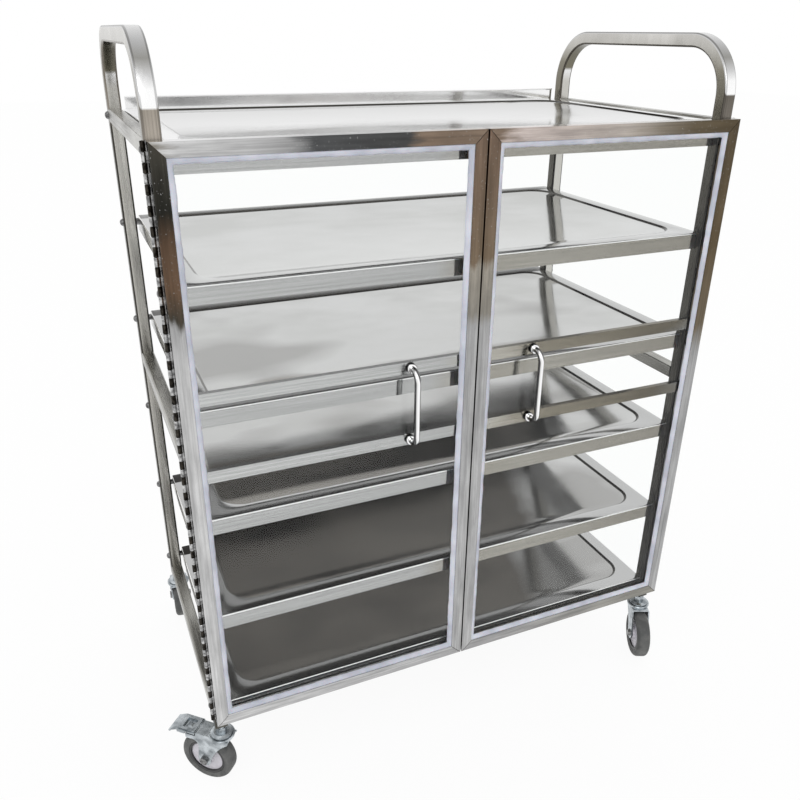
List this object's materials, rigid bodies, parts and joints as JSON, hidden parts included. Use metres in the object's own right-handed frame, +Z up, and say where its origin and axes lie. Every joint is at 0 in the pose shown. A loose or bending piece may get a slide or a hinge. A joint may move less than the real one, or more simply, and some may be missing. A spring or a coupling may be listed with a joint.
{
  "type": "tray trolley with glazed doors",
  "caption": "Tall stainless tray trolley with six pressed shelves, two glazed hinged doors, arch handles at both ends and four swivel casters.",
  "frame": {"origin": "on the floor, at the middle of the bounding box's base, which is the middle of the cart", "axes": "+Z up, +X to the right along the shelves, -Y towards the glazed doors"},
  "size_m": [1.0422, 0.5986, 1.192],
  "materials": {
    "polished_steel": "polished stainless steel",
    "brushed_shelf": "satin stainless sheet",
    "bright_fastener": "bright stainless fasteners",
    "zinc_plate": "zinc plated steel",
    "chrome_pull": "mirror chrome",
    "clear_glass": "clear float glass",
    "white_seal": "white silicone bead",
    "wheel_hub": "light grey moulded core with a black ring",
    "wheel_tyre": "dark grey rubber"
  },
  "bodies": {
    "cart_frame": {"left_end_frame": "polished_steel", "left_top_rail": "polished_steel", "left_middle_rail": "polished_steel", "left_bottom_rail": "polished_steel", "right_end_frame": "polished_steel", "right_top_rail": "polished_steel", "right_middle_rail": "polished_steel", "right_bottom_rail": "polished_steel", "top_shelf": "brushed_shelf", "shelf_2": "brushed_shelf", "shelf_3": "brushed_shelf", "shelf_4": "brushed_shelf", "shelf_5": "brushed_shelf", "bottom_shelf": "brushed_shelf", "shelf_bolts": "bright_fastener", "spacer_nuts": "bright_fastener", "cap_nuts": "bright_fastener", "stem_sockets": "polished_steel", "caster_stems": "zinc_plate", "caster_top_races": "zinc_plate", "left_hinge_frame_leaf": "polished_steel", "left_hinge_pin": "polished_steel", "right_hinge_frame_leaf": "polished_steel", "right_hinge_pin": "polished_steel"},
    "left_door": {"left_door_frame": "polished_steel", "left_door_glass": "clear_glass", "left_door_seal": "white_seal", "left_door_upper_rail": "polished_steel", "left_door_lower_rail": "polished_steel", "left_door_pull": "chrome_pull", "left_pull_screws": "bright_fastener", "left_hinge_door_leaf": "polished_steel"},
    "right_door": {"right_door_frame": "polished_steel", "right_door_glass": "clear_glass", "right_door_seal": "white_seal", "right_door_upper_rail": "polished_steel", "right_door_lower_rail": "polished_steel", "right_door_pull": "chrome_pull", "right_pull_screws": "bright_fastener", "right_hinge_door_leaf": "polished_steel"},
    "front_left_swivel": {"front_left_fork": "zinc_plate", "front_left_axle": "zinc_plate"},
    "front_left_wheel": {"front_left_wheel_core": "wheel_hub", "front_left_tyre": "wheel_tyre"},
    "front_left_pedal": {"front_left_brake_pedal": "zinc_plate"},
    "front_right_swivel": {"front_right_fork": "zinc_plate", "front_right_axle": "zinc_plate"},
    "front_right_wheel": {"front_right_wheel_core": "wheel_hub", "front_right_tyre": "wheel_tyre"},
    "rear_left_swivel": {"rear_left_fork": "zinc_plate", "rear_left_axle": "zinc_plate"},
    "rear_left_wheel": {"rear_left_wheel_core": "wheel_hub", "rear_left_tyre": "wheel_tyre"},
    "rear_right_swivel": {"rear_right_fork": "zinc_plate", "rear_right_axle": "zinc_plate"},
    "rear_right_wheel": {"rear_right_wheel_core": "wheel_hub", "rear_right_tyre": "wheel_tyre"},
    "rear_right_pedal": {"rear_right_brake_pedal": "zinc_plate"}
  },
  "joints": [
    {"name": "left_door_hinge", "type": "hinge", "parent": "cart_frame", "child": "left_door", "pos_m": [-0.452, -0.236, 0.6115], "axis": [0, 0, 1], "range_deg": [-180, 0]},
    {"name": "right_door_hinge", "type": "hinge", "parent": "cart_frame", "child": "right_door", "pos_m": [0.452, -0.236, 0.6115], "axis": [0, 0, 1], "range_deg": [0, 180]},
    {"name": "front_left_swivel_joint", "type": "hinge", "parent": "cart_frame", "child": "front_left_swivel", "pos_m": [-0.439, -0.224, 0.107], "axis": [0, 0, 1], "continuous": true},
    {"name": "front_left_wheel_joint", "type": "hinge", "parent": "front_left_swivel", "child": "front_left_wheel", "pos_m": [-0.46021, -0.20422, 0.048], "axis": [-0.682, -0.7314, 0], "continuous": true},
    {"name": "front_left_pedal_joint", "type": "hinge", "parent": "front_left_swivel", "child": "front_left_pedal", "pos_m": [-0.47996, -0.18581, 0.094], "axis": [-0.682, -0.7314, 0], "range_deg": [0, 12]},
    {"name": "front_right_swivel_joint", "type": "hinge", "parent": "cart_frame", "child": "front_right_swivel", "pos_m": [0.439, -0.224, 0.107], "axis": [0, 0, 1], "continuous": true},
    {"name": "front_right_wheel_joint", "type": "hinge", "parent": "front_right_swivel", "child": "front_right_wheel", "pos_m": [0.42721, -0.25049, 0.048], "axis": [0.9135, -0.4067, 0], "continuous": true},
    {"name": "rear_left_swivel_joint", "type": "hinge", "parent": "cart_frame", "child": "rear_left_swivel", "pos_m": [-0.439, 0.224, 0.107], "axis": [0, 0, 1], "continuous": true},
    {"name": "rear_left_wheel_joint", "type": "hinge", "parent": "rear_left_swivel", "child": "rear_left_wheel", "pos_m": [-0.43496, 0.25272, 0.048], "axis": [-0.9903, 0.1392, 0], "continuous": true},
    {"name": "rear_right_swivel_joint", "type": "hinge", "parent": "cart_frame", "child": "rear_right_swivel", "pos_m": [0.439, 0.224, 0.107], "axis": [0, 0, 1], "continuous": true},
    {"name": "rear_right_wheel_joint", "type": "hinge", "parent": "rear_right_swivel", "child": "rear_right_wheel", "pos_m": [0.46021, 0.20422, 0.048], "axis": [0.682, 0.7314, 0], "continuous": true},
    {"name": "rear_right_pedal_joint", "type": "hinge", "parent": "rear_right_swivel", "child": "rear_right_pedal", "pos_m": [0.47996, 0.18581, 0.094], "axis": [0.682, 0.7314, 0], "range_deg": [0, 12]}
  ]
}
